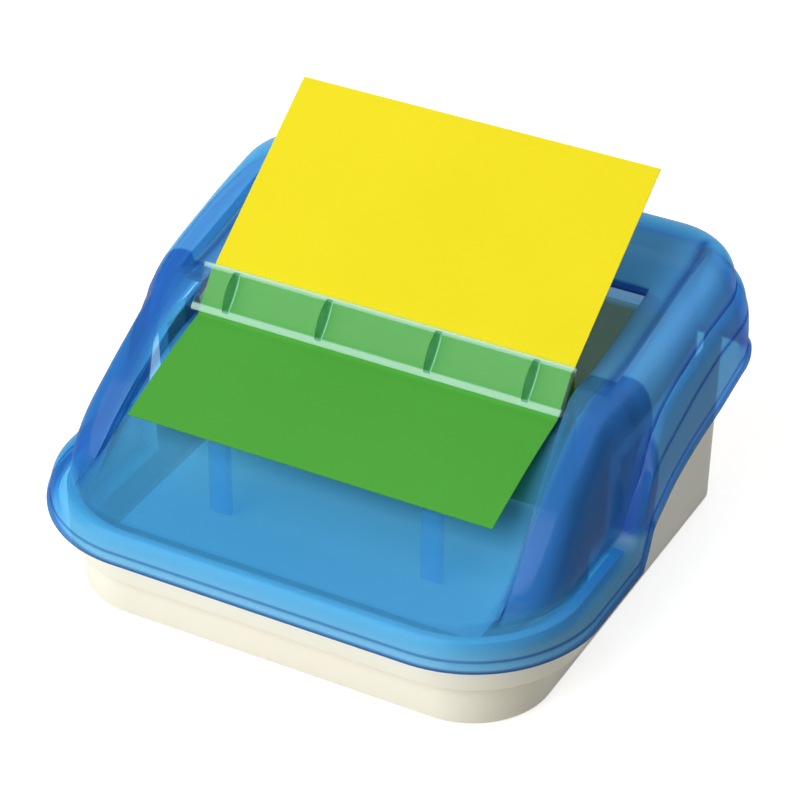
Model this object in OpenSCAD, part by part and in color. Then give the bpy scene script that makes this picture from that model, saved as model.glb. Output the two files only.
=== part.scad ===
// Desktop dispenser for pop-up sticky notes.
// A moulded tray holds the pad, and a hinged see-through cover feeds the sheets out under a clear bar.
// Millimetres. The object stands on z = 0, centred on x and y, with its front towards -y.
// Inside the file, y runs from the front rim of the cover and z from the underside of the tray.

/* [Notes] */
// Side of one square note
note_w = 76; // [70:0.5:80]
// Height of the pad that lies in the tray
pad_h = 9; // [4:0.5:9]
// Thickness that a single note is drawn with
sheet_t = 0.2; // [0.1:0.05:0.3]
// Length of yellow note that stands out behind the bar
back_note_out = 41.6; // [20:0.2:46]
// Angle at which the yellow note stands above level
back_note_angle = 34.4; // [25:0.1:50]
// Length of green note that lies out in front of the bar
front_note_out = 27; // [15:0.5:30]

/* [Cover] */
// Room between a note's edge and the side of the slot
slot_room = 1.2; // [0.8:0.1:2]
// Width of the cover outside the slot, on each side
cover_side = 17.55; // [16.5:0.05:20]
// Depth of the cover behind the pad's rear edge
cover_back = 17; // [16:0.5:22]
// Depth of the cover in front of the pad's front edge
cover_front = 14; // [13:0.5:17]
// Height of the cover's lower edge at the front
rim_z = 16; // [15:0.5:17]
// Height of the shelf that runs round the foot of the body
shelf_z = 22.8; // [22:0.2:24]
// Height of the highest stretch of the roof
roof_z = 56.2; // [54:0.2:60]
// Wall thickness of the cover
cover_wall = 2; // [1.6:0.1:2.2]
// Radius of the cover's two front corners in plan
front_r = 26; // [24:0.5:30]
// Radius of the cover's two rear corners in plan
rear_r = 20; // [16:0.5:22]
// Front-to-back length of the slot
slot_d = 33.5; // [30:0.5:36]
// Width of each finger that keeps the pad down
finger_w = 4; // [3:0.5:6]

/* [Bar] */
// Front-to-back slope length of the clear bar
bar_d = 9.5; // [8:0.5:11]
// Slope of the bar above level
bar_angle = 51.4; // [48:0.2:54]
// Thickness of the bar at its two long edges
bar_edge = 1.6; // [1.2:0.1:1.8]
// Thickness of the bar at the bottom of its dished face
bar_mid = 0.9; // [0.7:0.1:1]
// Height by which each cross rib stands out of the bar's face
rib_out = 1.2; // [0.3:0.1:1.4]
// Width of each cross rib on the bar
bar_rib = 1.4; // [0.6:0.1:1.6]

/* [Tray] */
// Width of the tray outside the pad, on each side
tray_side = 10.6; // [10:0.1:11.5]
// Depth of the tray in front of the pad
tray_front = 7.4; // [7:0.1:8]
// Depth of the tray behind the pad
tray_back = 6.9; // [6.4:0.1:7.4]
// Height of the tray's side and rear walls
tray_h = 37; // [34:0.5:38]
// Wall thickness of the tray
tray_wall = 2.2; // [1.8:0.1:2.6]
// Height of the floor that the pad lies on
floor_z = 5.2; // [4.8:0.1:6]
// Height at which the front lip stands out of the tray
lip_z = 9.2; // [8:0.2:11]
// Set-back of the front lip from the cover's rim
lip_in = 4; // [3.6:0.1:4.4]

/* [Weight and feet] */
// Thickness of the steel ballast plate
ballast_t = 1.5; // [1:0.1:2]
// Thickness of the bottom plate
plate_t = 1.4; // [1.2:0.1:1.6]
// Diameter of a rubber foot
foot_d = 12; // [8:0.5:16]
// Height by which a foot stands below the tray
foot_out = 0.8; // [0.5:0.1:1.2]
// Diameter of a screw shank
screw_d = 2.2; // [1.8:0.1:2.6]

/* [Hinge] */
// Height of the hinge axis
hinge_z = 20; // [18:0.5:21]
// Distance of the hinge axis in front of the tray's rear face
hinge_in = 8.6; // [8:0.1:10]
// Diameter of each hinge peg
peg_d = 4.2; // [3.6:0.1:5]
// Radial running clearance of a peg in its socket
peg_clear = 0.05; // [0.03:0.01:0.1]
// Thickness of each hinge arm
arm_t = 1.8; // [1.5:0.1:2.2]

/* [Hidden] */
$fn = 48;
gap = 0.3;

// Plan sizes, all worked out from the note
slot_hw = note_w / 2 + slot_room;
cover_hw = slot_hw + cover_side;
cover_d = cover_front + note_w + cover_back;
pad_y0 = cover_front;
pad_y = pad_y0 + note_w / 2;
tray_hw = note_w / 2 + tray_side;
tray_y0 = pad_y0 - tray_front;
tray_y1 = pad_y0 + note_w + tray_back;
slot_y0 = pad_y - 4.5;
slot_y1 = slot_y0 + slot_d;

// Where the side rim steps up and the hood takes over from the front body
step_y = 0.413 * cover_d;
shelf_in = 4.7;
shoulder_in = 3.7;

// Smooth curve through a few points, level beyond both ends and never overshooting
function mix(a, b, t) = a + (b - a) * t;
function clamp01(t) = min(1, max(0, t));
function segment(x, p, i = 0) = i >= len(p) - 2 || x < p[i + 1][0] ? i : segment(x, p, i + 1);
function chord(p, i) = (p[i + 1][1] - p[i][1]) / (p[i + 1][0] - p[i][0]);
function knot_slope(p, i) =
    i == 0 ? chord(p, 0) :
    i == len(p) - 1 ? chord(p, i - 1) :
    chord(p, i - 1) * chord(p, i) <= 0 ? 0 :
    2 * chord(p, i - 1) * chord(p, i) / (chord(p, i - 1) + chord(p, i));
function curve(x, p) =
    let (i = segment(x, p),
         h = p[i + 1][0] - p[i][0],
         t = clamp01((x - p[i][0]) / h),
         m0 = knot_slope(p, i) * h,
         m1 = knot_slope(p, i + 1) * h)
    p[i][1] * (2 * t ^ 3 - 3 * t ^ 2 + 1) + m0 * (t ^ 3 - 2 * t ^ 2 + t)
    + p[i + 1][1] * (3 * t ^ 2 - 2 * t ^ 3) + m1 * (t ^ 3 - t ^ 2);

// Heights along the cover, by distance from the front rim
function body_z(f) = shelf_z + (roof_z - shelf_z) * f;
rim_line = [[step_y, rim_z], [step_y + 2, rim_z + 3.2], [step_y + 4, rim_z + 7.2], [step_y + 8, rim_z + 9.7],
    [step_y + 13, rim_z + 12.3], [step_y + 23, rim_z + 15], [step_y + 34, rim_z + 16.9],
    [step_y + 43, rim_z + 19], [step_y + 51, rim_z + 19.2], [step_y + 59, rim_z + 16],
    [cover_d, rim_z + 13.4]];
band_line = [[step_y - 0.5, shelf_z - 1.5], [step_y + 1.4, body_z(0.1)], [step_y + 3.6, body_z(0.3)],
    [step_y + 7.6, body_z(0.4)], [step_y + 13, body_z(0.47)], [step_y + 26, body_z(0.6)],
    [step_y + 37, body_z(0.66)], [cover_d, body_z(0.68)]];
shoulder_line = [[step_y - 0.5, shelf_z], [step_y + 1.6, body_z(0.15)], [step_y + 3.2, body_z(0.25)],
    [step_y + 5.4, body_z(0.36)], [step_y + 8, body_z(0.5)], [step_y + 12, body_z(0.61)],
    [step_y + 19, body_z(0.69)], [step_y + 37, body_z(0.79)], [cover_d, body_z(0.83)]];
crest_line = [[14, body_z(0.06)], [17, body_z(0.128)], [22, body_z(0.275)], [28, body_z(0.422)],
    [35, body_z(0.56)], [45, body_z(0.722)], [52, body_z(0.788)], [60, body_z(0.83)],
    [70, body_z(0.884)], [80, body_z(0.942)], [90, body_z(0.985)], [97, body_z(1)]];
floor_line = [[shelf_in, shelf_z], [17, body_z(0.108)], [26, body_z(0.285)], [36, body_z(0.481)],
    [slot_y0 - 4, body_z(0.579)], [slot_y0, body_z(0.609)]];
recess_line = [[slot_y0 + 2, 0], [slot_y0 + 8, 1.5], [slot_y0 + 16, 2], [slot_y1 + 7, 2], [slot_y1 + 14, 0]];
recess_hw = slot_hw + 6.2;
function flank_w(y) = mix(5.5, 3.8, clamp01((y - slot_y0 - 12) / 35));
function in_hood(y) = clamp01((y - step_y - 0.5) / 4);
function foot_inset(y) = mix(shelf_in, shoulder_in, in_hood(y));

// How far a place lies inside the rim's outline in plan
function corner_depth(x, y, r) = r - norm([x - cover_hw + r, y]);
function depth(x, y) =
    abs(x) > cover_hw - front_r && y < front_r ? corner_depth(abs(x), front_r - y, front_r) :
    abs(x) > cover_hw - rear_r && y > cover_d - rear_r ? corner_depth(abs(x), y - cover_d + rear_r, rear_r) :
    min(cover_hw - abs(x), y, cover_d - y);

// One line of the cover's surface, from a point of the rim to a point of the slot
channel_tip = slot_hw + 5.1;
function arc_angle(x, inset) = asin(clamp01((x - cover_hw + front_r) / (front_r - inset)));
function front_arc(a) =
    [[cover_hw - front_r + front_r * sin(a), front_r - front_r * cos(a)], [-sin(a), cos(a)]];
function channel_rim(x) =
    x < cover_hw - front_r ? [[x, 0], [0, 1]] : front_arc(arc_angle(x, shelf_in));
function side_rim(y) = [[cover_hw, y], [-1, 0]];
function rear_arc(a) =
    [[cover_hw - rear_r + rear_r * cos(a), cover_d - rear_r + rear_r * sin(a)], [-cos(a), -sin(a)]];
function surface_line(rim, slot, in_channel = false) = [rim[0], rim[1], slot, in_channel];
function flip(l) = [[-l[0][0], l[0][1]], [-l[1][0], l[1][1]], [-l[2][0], l[2][1]], l[3]];

// The lines of the right half, from the front round the side to the rear
channel_n = 7;
corner_n = 7;
corner_run = 2.5;
tip_a = arc_angle(channel_tip, shelf_in);
fan_rims = concat(
    [for (i = [0 : corner_n]) front_arc(mix(tip_a + 1.2, 90, (i / corner_n) ^ 1.2))],
    [for (y = [30, 34.5, 39, 42]) side_rim(y)],
    [for (y = [0, 1, 2, 3, 4, 5.2, 6.6]) side_rim(step_y + y)]);
function slot_side(i, n, y) = [slot_hw, y + corner_run * i / n];
side_n = 6;
rear_n = 6;
half_lines = concat(
    [for (i = [1 : channel_n])
        surface_line(channel_rim(channel_tip * i / channel_n), [slot_hw * i / channel_n, slot_y0], true)],
    [for (i = [0 : len(fan_rims) - 1])
        surface_line(fan_rims[i], slot_side(i + 1, len(fan_rims) + 1, slot_y0))],
    [for (i = [0 : side_n]) let (y = mix(slot_y0 + corner_run, slot_y1 - corner_run, i / side_n))
        surface_line(side_rim(mix(step_y + 8, y, clamp01(i / 2 + 0.2))), [slot_hw, y])],
    [for (i = [0 : corner_n])
        surface_line(rear_arc(90 * i / corner_n), slot_side(i + 0.5, corner_n + 0.5, slot_y1 - corner_run))],
    [for (i = [rear_n - 1 : -1 : 1])
        surface_line([[(cover_hw - rear_r) * i / rear_n, cover_d], [0, -1]], [slot_hw * i / rear_n, slot_y1])]);
cover_lines = concat(
    [surface_line([[0, 0], [0, 1]], [0, slot_y0], true)], half_lines,
    [surface_line([[0, cover_d], [0, -1]], [0, slot_y1])],
    [for (i = [len(half_lines) - 1 : -1 : 0]) flip(half_lines[i])]);

// Height of the body above the shelf, at any place inside the shoulder
function rise(t) = t >= 1 ? 1 : sqrt(1 - (1 - max(t, 0)) ^ 2);
function roof_top(x, y) =
    max(curve(y, crest_line), curve(y, floor_line)) - (abs(x) < recess_hw ? curve(y, recess_line) : 0);
function body_top(l, x, y, skin) =
    l[3] ? curve(y, floor_line) - skin * 1.15 :
    mix(curve(y, shoulder_line) - skin, roof_top(x, y) - skin * 1.15,
        rise((depth(x, y) - skin - foot_inset(y)) / flank_w(y)));
function ring_at(l, inset, z) = [l[0][0] + l[1][0] * inset, l[0][1] + l[1][1] * inset, z];
function shoulder_at(l, skin) =
    ring_at(l, foot_inset(l[0][1]) + skin, curve(l[0][1], shoulder_line) - skin);
function top_at(l, t, skin) =
    let (c = shoulder_at(l, skin),
         side = abs(l[2][0]) >= slot_hw && t < 1 ? sign(l[2][0]) * skin : 0,
         x = mix(c[0], l[2][0] + side, t),
         y = mix(c[1], l[2][1], t))
    [x, y, body_top(l, x, y, skin)];

// Sections of the wall: up the outside from the rim to the slot, and down the inside
outer_steps = [0.05, 0.12, 0.2, 0.3, 0.42, 0.53, 0.58, 0.75, 0.9, 1];
inner_steps = [1, 0.96, 0.8, 0.6, 0.54, 0.4, 0.26, 0.15, 0.07];
band_in = 1.1;
bead_h = 1.4;
function outer_profile(l) =
    let (y = l[0][1], rim = curve(y, rim_line), band = curve(y, band_line), c = shoulder_at(l, 0))
    concat(
        [ring_at(l, 0.5, rim), ring_at(l, 0, rim + 0.5), ring_at(l, 0, rim + bead_h),
         ring_at(l, 0.6, rim + bead_h + 0.5), ring_at(l, 0.8, mix(rim + bead_h + 0.5, band, 0.6)),
         ring_at(l, band_in, band - 0.3), ring_at(l, mix(band_in, foot_inset(y), 0.3), mix(band, c[2], 0.7)), c],
        [for (t = outer_steps) top_at(l, t, 0)]);
function inner_profile(l) =
    let (y = l[0][1], w = cover_wall, rim = curve(y, rim_line), band = curve(y, band_line), c = shoulder_at(l, w))
    concat(
        [for (t = inner_steps) top_at(l, t, w)],
        [c, ring_at(l, w + mix(band_in, foot_inset(y), 0.3), mix(band, c[2] + w, 0.7) - w * 0.85),
         ring_at(l, w + band_in, band - 0.3 - w * 0.6), ring_at(l, w + 0.4, mix(rim + 2, band, 0.4)),
         ring_at(l, w + 0.1, rim)]);

// A closed band of sections, joined end to end
module ring_of_sections(sections) {
    m = len(sections);
    n = len(sections[0]);
    polyhedron(
        points = [for (s = sections) each s],
        faces = [for (i = [0 : m - 1], j = [0 : n - 1])
            let (a = i * n + j, b = i * n + (j + 1) % n,
                 c = ((i + 1) % m) * n + (j + 1) % n, d = ((i + 1) % m) * n + j)
            each [[a, b, c], [a, c, d]]],
        convexity = 10);
}

// Hinge, arms and tray heights
hinge_y = tray_y1 - hinge_in;
hinge_hub_r = peg_d / 2 + 2.5;
arm_x = slot_hw + 5.6;
peg_end = tray_hw - 1.1;
wall_draft = 0.9;
tub_r = 16;
tub_rear_r = 4.5;
tall_wall_y = step_y + 3.8;
lip_top = shelf_z - cover_wall - 0.7;
lip_y1 = step_y - 0.2;

// Bottom parts, placed from the tray's own sides
pocket_in = 1.8;
pocket_top = plate_t + ballast_t + 0.3;
ballast_in = 2;
head_r = screw_d / 2 + 0.9;
head_seat = 0.9;
post_r = head_r + 1.2;
foot_seat = 0.5;
foot_edge = 0.3;
foot_x = tray_hw - foot_d / 2 - 10.6;
foot_front_y = tray_y0 + foot_d / 2 + 9.4;
foot_rear_y = tray_y1 - foot_d / 2 - 6.9;
screw_x = tray_hw - post_r - 5.4;
screw_gap = 2;
screw_ys = [foot_front_y + foot_d / 2 + screw_gap, foot_rear_y - foot_d / 2 - screw_gap];
screw_places = [for (x = [-screw_x, screw_x], y = screw_ys) [x, y]];
pad_top = floor_z + pad_h;

// Guides at the pad's corners
guide_t = 1.6;
guide_run = 9;
guide_h = 4;

// Bar, by the lower corner of its back face
bar_y = pad_y - 7.25;
bar_z = body_z(0.648);
bar_len = 2 * (slot_hw - gap);
bar_pin_r = 0.6;
bar_pin_out = 1.4;
bar_pin_at = [0.7, 0.8];
bar_rib_places = [for (f = [-0.8125, -0.2955, 0.2955, 0.8125]) f * bar_len / 2];

// A sheet's way round the bar, in side view
function bar_point(u, v) =
    [bar_y + u * cos(bar_angle) - v * sin(bar_angle), bar_z + u * sin(bar_angle) + v * cos(bar_angle)];
function arc_points(c, r, a0, a1, n) =
    [for (i = [0 : n]) let (a = mix(a0, a1, i / n)) [c[0] + r * cos(a), c[1] + r * sin(a)]];
sheet_off = 0.25 + sheet_t / 2;
fold_r = 0.45;
fold_c = bar_point(bar_d - 0.9, -sheet_off - fold_r);
drop_line = [[pad_top + 0.8, fold_c[0] + fold_r + 4.3], [bar_z - 19.4, fold_c[0] + fold_r + 2.8],
    [bar_z - 4.4, fold_c[0] + fold_r + 0.8], [fold_c[1], fold_c[0] + fold_r]];
function drop_points(z0, z1, back, n) =
    [for (i = [0 : n]) let (z = mix(z0, z1, i / n)) [curve(z, drop_line) + back, z]];
front_slope = 17;
front_end = bar_point(-0.4, -sheet_off - 0.3);
green_path = concat(
    [for (i = [6 : -1 : 1]) let (s = front_note_out * i / 6)
        [front_end[0] - s * cos(front_slope), front_end[1] - s * sin(front_slope) + 0.5 * sin(30 * i)]],
    [front_end, bar_point(0.6, -sheet_off)],
    arc_points(fold_c, fold_r, bar_angle + 90, 0, 6),
    drop_points(fold_c[1] - 0.8, pad_top + 0.8, 0, 8));
sheet_step = sheet_t + 0.3;
bend_r = 1;
bend_c = [fold_c[0] + fold_r + sheet_step + bend_r, fold_c[1] + 0.1];
bend_end = [bend_c[0] - bend_r * sin(back_note_angle), bend_c[1] + bend_r * cos(back_note_angle)];
yellow_path = concat(
    [[bend_end[0] + back_note_out * cos(back_note_angle), bend_end[1] + back_note_out * sin(back_note_angle)]],
    arc_points(bend_c, bend_r, 90 + back_note_angle, 180, 5),
    drop_points(fold_c[1] - 1.2, pad_top + 2.8, sheet_step, 8));

// Thin strip along a path
function way(p, i) = p[min(i + 1, len(p) - 1)] - p[max(i - 1, 0)];
function beside(p, i, d) = let (w = way(p, i)) p[i] + [-w[1], w[0]] * d / norm(w);
function strip(p, t) = concat(
    [for (i = [0 : len(p) - 1]) beside(p, i, t / 2)],
    [for (i = [len(p) - 1 : -1 : 0]) beside(p, i, -t / 2)]);

// Rounded outline with wider corners at the front
corner_pts = 8;
function corner(cx, cy, r, a0) =
    [for (i = [0 : corner_pts]) let (a = a0 + 90 * i / corner_pts) [cx + r * cos(a), cy + r * sin(a)]];
function plan(hw, y0, y1, rf, rr) = concat(
    corner(hw - rf, y0 + rf, rf, -90), corner(hw - rr, y1 - rr, rr, 0),
    corner(rr - hw, y1 - rr, rr, 90), corner(rf - hw, y0 + rf, rf, 180));
function tub_plan(inset) =
    plan(tray_hw - inset, tray_y0 + inset, tray_y1 - inset, tub_r - inset, max(1, tub_rear_r - inset));
function lip_plan(inset, y1) =
    plan(cover_hw - lip_in - inset, lip_in + inset, y1, front_r - lip_in - inset, 1);
function lift(outline, z) = [for (p = outline) [p[0], p[1], z]];

module loft(low, high) {
    n = len(low);
    polyhedron(
        points = concat(low, high),
        faces = concat(
            [[for (i = [0 : n - 1]) i]],
            [[for (i = [n - 1 : -1 : 0]) n + i]],
            [for (i = [0 : n - 1]) let (k = (i + 1) % n) [i, n + i, n + k, k]]));
}

module stand() {
    translate([0, -cover_d / 2, foot_out]) children();
}

module across(w) {
    rotate([90, 0, 90]) linear_extrude(w) children();
}

module both_sides() {
    children();
    mirror([1, 0, 0]) children();
}

module at_screws() {
    for (p = screw_places) translate(p) children();
}

// Tray: a tub with a wider front lip, tall side and rear walls, and sockets for the hinge pegs
module tub_body() {
    loft(lift(tub_plan(0), 0), lift(tub_plan(-wall_draft), tray_h));
}

module tub_inside() {
    up = (tray_h + 14 - floor_z) / tray_h * wall_draft;
    loft(lift(tub_plan(tray_wall), floor_z), lift(tub_plan(tray_wall - up), tray_h + 14));
}

module front_lip() {
    translate([0, 0, lip_z]) linear_extrude(lip_top + 1 - lip_z) polygon(lip_plan(0, lip_y1));
}

module front_lip_inside() {
    translate([0, 0, lip_z + tray_wall])
    linear_extrude(tray_h) polygon(lip_plan(tray_wall, lip_y1 - tray_wall));
}

module arm_slot() {
    translate([arm_x - arm_t - 0.6, tray_y1 - tray_wall - 1.4, hinge_z - 5])
    cube([arm_t + 1.2, tray_wall + 5, tray_h]);
}

module hinge_hub() {
    translate([arm_x + gap, hinge_y, hinge_z])
    rotate([0, 90, 0]) cylinder(h = tray_hw - 0.5 - arm_x - gap, r = hinge_hub_r);
}

module peg_bore() {
    translate([arm_x, hinge_y, hinge_z])
    rotate([0, 90, 0]) cylinder(h = peg_end + 0.3 - arm_x, r = peg_d / 2 + peg_clear);
}

module plate_pocket() {
    translate([0, 0, -1]) linear_extrude(plate_t + 1) polygon(tub_plan(pocket_in));
    difference() {
        linear_extrude(pocket_top) polygon(tub_plan(4.4));
        at_screws() cylinder(h = pocket_top + 1, r = post_r);
    }
}

module pad_corner() {
    x = note_w / 2 + gap;
    y = pad_y0 + note_w + gap;
    translate([0, 0, floor_z - 1]) linear_extrude(guide_h + 1)
    polygon([[x, y - guide_run], [x + guide_t, y - guide_run], [x + guide_t, y + guide_t],
        [x - guide_run, y + guide_t], [x - guide_run, y], [x, y]]);
}

module both_ends() {
    children();
    translate([0, pad_y, 0]) mirror([0, 1, 0]) translate([0, -pad_y, 0]) children();
}

module base_tray() {
    color([0.94, 0.92, 0.86])
    stand() difference() {
        union() {
            difference() {
                union() {
                    tub_body();
                    front_lip();
                }
                tub_inside();
                front_lip_inside();
                translate([-cover_hw, -1, lip_top]) cube([2 * cover_hw, tall_wall_y + 1, tray_h]);
            }
            both_sides() hinge_hub();
            both_sides() both_ends() pad_corner();
        }
        both_sides() peg_bore();
        both_sides() arm_slot();
        plate_pocket();
        at_screws() translate([0, 0, plate_t - 1]) cylinder(h = floor_z - 0.8 - plate_t + 1, r = screw_d / 2 + 0.05);
    }
}

module bottom_plate() {
    color([0.9, 0.88, 0.82])
    stand() difference() {
        linear_extrude(plate_t) polygon(tub_plan(pocket_in + 0.25));
        at_screws() translate([0, 0, -1]) cylinder(h = head_seat + 1, r = head_r + 0.2);
        at_screws() translate([0, 0, -1]) cylinder(h = plate_t + 2, r = screw_d / 2 + 0.15);
        for (x = [-foot_x, foot_x], y = [foot_front_y, foot_rear_y])
            translate([x, y, -1]) cylinder(h = foot_seat + 1, r = foot_d / 2 + 0.1);
    }
}

module ballast_plate() {
    color([0.6, 0.6, 0.62])
    stand() translate([0, 0, plate_t])
    linear_extrude(ballast_t)
    polygon(plan(note_w / 2 - ballast_in, pad_y0 + 2 * ballast_in, pad_y0 + note_w - 2 * ballast_in, 3, 3));
}

module plate_screws() {
    cross = 1.2 * head_r;
    blade = head_r / 4;
    color([0.75, 0.75, 0.77])
    stand() at_screws() difference() {
        union() {
            translate([0, 0, 0.1]) cylinder(h = head_seat - 0.1, r = head_r);
            translate([0, 0, head_seat - 0.2]) cylinder(h = floor_z - 0.8 - head_seat, r = screw_d / 2);
        }
        translate([-cross / 2, -blade / 2, -0.4]) cube([cross, blade, 1]);
        translate([-blade / 2, -cross / 2, -0.4]) cube([blade, cross, 1]);
    }
}

module foot(x, y) {
    color([0.8, 0.8, 0.8])
    stand() translate([x, y, -foot_out]) {
        cylinder(h = foot_edge, r1 = foot_d / 2 - foot_edge, r2 = foot_d / 2);
        translate([0, 0, foot_edge]) cylinder(h = foot_out + foot_seat - foot_edge, r = foot_d / 2);
    }
}

module foot_front_left() {
    foot(-foot_x, foot_front_y);
}

module foot_front_right() {
    foot(foot_x, foot_front_y);
}

module foot_rear_left() {
    foot(-foot_x, foot_rear_y);
}

module foot_rear_right() {
    foot(foot_x, foot_rear_y);
}

// Cover: the moulded shell with its hinge arms, pegs and the two fingers over the pad
module cover_shell() {
    ring_of_sections([for (l = cover_lines) concat(outer_profile(l), inner_profile(l))]);
}

rib_n = 12;
rib_h = 3.4;
rib_ys = [for (i = [0 : rib_n]) mix(slot_y0 + 4, hinge_y + 2 * hinge_hub_r, i / rib_n)];
arm_front_y = hinge_y - 2 * hinge_hub_r;
module hinge_arm() {
    translate([arm_x - arm_t, 0, 0]) across(arm_t) {
        polygon(concat(
            [for (y = rib_ys) [y, roof_top(arm_x, y) - 1.2]],
            [for (i = [rib_n : -1 : 0]) [rib_ys[i], roof_top(arm_x, rib_ys[i]) - 1.2 - rib_h]]));
        polygon([[hinge_y - hinge_hub_r, hinge_z], [hinge_y + hinge_hub_r, hinge_z],
            [hinge_y + hinge_hub_r, roof_top(arm_x, hinge_y + hinge_hub_r) - 2],
            [arm_front_y, roof_top(arm_x, arm_front_y) - 2]]);
        translate([hinge_y, hinge_z]) circle(r = hinge_hub_r);
    }
    translate([arm_x - 1, hinge_y, hinge_z])
    rotate([0, 90, 0]) cylinder(h = peg_end + 1 - arm_x, r = peg_d / 2);
}

finger_x = 0.296 * note_w;
finger_y = pad_y0 + 12;
finger_t = 2;
module pad_finger() {
    low = pad_top + gap + finger_t / 2;
    high = curve(finger_y, floor_line) - 1.3;
    translate([finger_x - finger_w / 2, finger_y, 0]) {
        translate([0, -finger_t / 2, low]) cube([finger_w, finger_t, high - low]);
        translate([0, 0, low]) rotate([0, 90, 0]) cylinder(h = finger_w, r = finger_t / 2);
    }
}

module bar_pins(r, len) {
    p = bar_point(bar_pin_at[0], bar_pin_at[1]);
    translate([-len / 2, p[0], p[1]]) rotate([0, 90, 0]) cylinder(h = len, r = r);
}

module cover() {
    color([0.13, 0.42, 0.86, 0.6])
    stand() difference() {
        union() {
            cover_shell();
            both_sides() hinge_arm();
            both_sides() pad_finger();
        }
        bar_pins(bar_pin_r + 0.1, bar_len + 2 * bar_pin_out + 0.3);
    }
}

// Clear bar with a dished front face, four lens-shaped ribs and a pin at each end
dish_u0 = 0.9;
dish_u1 = bar_d - 0.5;
dish_n = 12;
function dish(i) = let (s = 2 * i / dish_n - 1) bar_mid + (bar_edge - bar_mid) * s ^ 2;
function dish_curve(bulge) = [for (i = [0 : dish_n]) let (s = 2 * i / dish_n - 1)
    [mix(dish_u0, dish_u1, i / dish_n), bulge > 0 ? bar_edge + bulge * (1 - s ^ 2) : dish(i)]];
module bar() {
    color([0.9, 0.96, 0.98, 0.4])
    stand() {
        translate([0, bar_y, bar_z]) rotate([bar_angle, 0, 0]) {
            translate([-bar_len / 2, 0, 0]) across(bar_len)
            polygon(concat([[bar_d, bar_edge], [bar_d, 0], [0, 0], [0, bar_edge]], dish_curve(0)));
            for (x = bar_rib_places) translate([x - bar_rib / 2, 0, 0]) across(bar_rib)
            polygon(concat([[dish_u1, 0.4], [dish_u0, 0.4]], dish_curve(rib_out)));
        }
        bar_pins(bar_pin_r, bar_len + 2 * bar_pin_out);
    }
}

// Paper
module note_pad() {
    color([0.8, 0.82, 0.8])
    stand() translate([-note_w / 2, pad_y0, floor_z]) cube([note_w, note_w, pad_h]);
}

module green_note() {
    color([0.33, 0.7, 0.28])
    stand() translate([-note_w / 2, 0, 0]) across(note_w) polygon(strip(green_path, sheet_t));
}

module yellow_note() {
    color([0.98, 0.91, 0.13])
    stand() translate([-note_w / 2, 0, 0]) across(note_w) polygon(strip(yellow_path, sheet_t));
}

base_tray();
bottom_plate();
ballast_plate();
plate_screws();
foot_front_left();
foot_front_right();
foot_rear_left();
foot_rear_right();
cover();
bar();
note_pad();
green_note();
yellow_note();
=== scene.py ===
import math

import bpy
import numpy as np
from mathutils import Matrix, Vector


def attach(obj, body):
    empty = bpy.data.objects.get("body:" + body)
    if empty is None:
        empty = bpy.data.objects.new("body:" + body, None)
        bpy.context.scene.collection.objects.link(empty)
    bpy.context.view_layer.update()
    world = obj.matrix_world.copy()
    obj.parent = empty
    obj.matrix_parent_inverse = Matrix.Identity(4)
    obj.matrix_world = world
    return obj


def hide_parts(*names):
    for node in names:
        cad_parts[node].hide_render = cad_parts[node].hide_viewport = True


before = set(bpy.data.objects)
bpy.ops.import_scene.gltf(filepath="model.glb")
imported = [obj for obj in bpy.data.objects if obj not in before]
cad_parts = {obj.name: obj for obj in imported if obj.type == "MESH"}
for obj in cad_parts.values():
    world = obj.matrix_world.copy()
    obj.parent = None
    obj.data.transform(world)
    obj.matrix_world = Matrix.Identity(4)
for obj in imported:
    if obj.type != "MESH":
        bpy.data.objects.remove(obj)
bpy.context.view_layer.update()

# Sizes are in millimetres: x from the middle, y from the cover's front rim, z from the tray's underside.
place = dict(depth=107.0, footOut=0.8)


def metres(points):  # to the row frame: centred in depth, lifted by the feet, in metres
    shifted = np.asarray(points, float) + np.array([0, -place["depth"] / 2, place["footOut"]])
    return shifted / 1000


def mix(a, b, t):  # share t of the way from a to b
    return a + (b - a) * t


def columns(*q):  # rows of numbers, or single numbers, side by side as the columns of one array
    return np.column_stack(np.broadcast_arrays(*q))


def smoothStep(t):  # 3 t squared less 2 t cubed, held between 0 and 1
    t = np.clip(t, 0, 1)
    return t * t * (3 - 2 * t)


def ramp(x, start, length):  # 0 up to the start, then evenly up to 1 over the length
    return np.clip((x - start) / length, 0, 1)


def bell(x, middle, width):  # 1 in the middle; e to the minus square of the distance, counted in widths
    return np.exp(-((x - middle) / width) ** 2)


def curve(x, table):
    # Hermite curve through the table's points, level past both ends. An inner slope is the harmonic mean of
    # its two chords, or level where they turn, so the curve never overshoots.
    px, py = np.array(table, float).T
    x = np.asarray(x, float)
    i = np.clip(np.searchsorted(px, x, side="right") - 1, 0, len(px) - 2)
    chord = np.diff(py) / np.diff(px)
    product, total = chord[:-1] * chord[1:], chord[:-1] + chord[1:]
    inner = np.where(product > 0, 2 * product / np.where(total == 0, 1, total), 0)
    slope = np.concatenate([chord[:1], inner, chord[-1:]])
    h = px[i + 1] - px[i]
    t = np.clip((x - px[i]) / h, 0, 1)
    return (py[i] * (2 * t**3 - 3 * t**2 + 1) + slope[i] * h * (t**3 - 2 * t**2 + t)
            + py[i + 1] * (3 * t**2 - 2 * t**3) + slope[i + 1] * h * (t**3 - t**2))


def roundCorners(points, rounds=2):  # cuts each corner at a quarter of both sides, ends kept; (..., n, 3)
    for _ in range(rounds):
        a, b = points[..., :-1, :], points[..., 1:, :]
        cut = np.stack([a * 0.75 + b * 0.25, a * 0.25 + b * 0.75], axis=-2)
        cut = cut.reshape(*points.shape[:-2], -1, 3)
        points = np.concatenate([points[..., :1, :], cut[..., 1:-1, :], points[..., -1:, :]], axis=-2)
    return points


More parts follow.
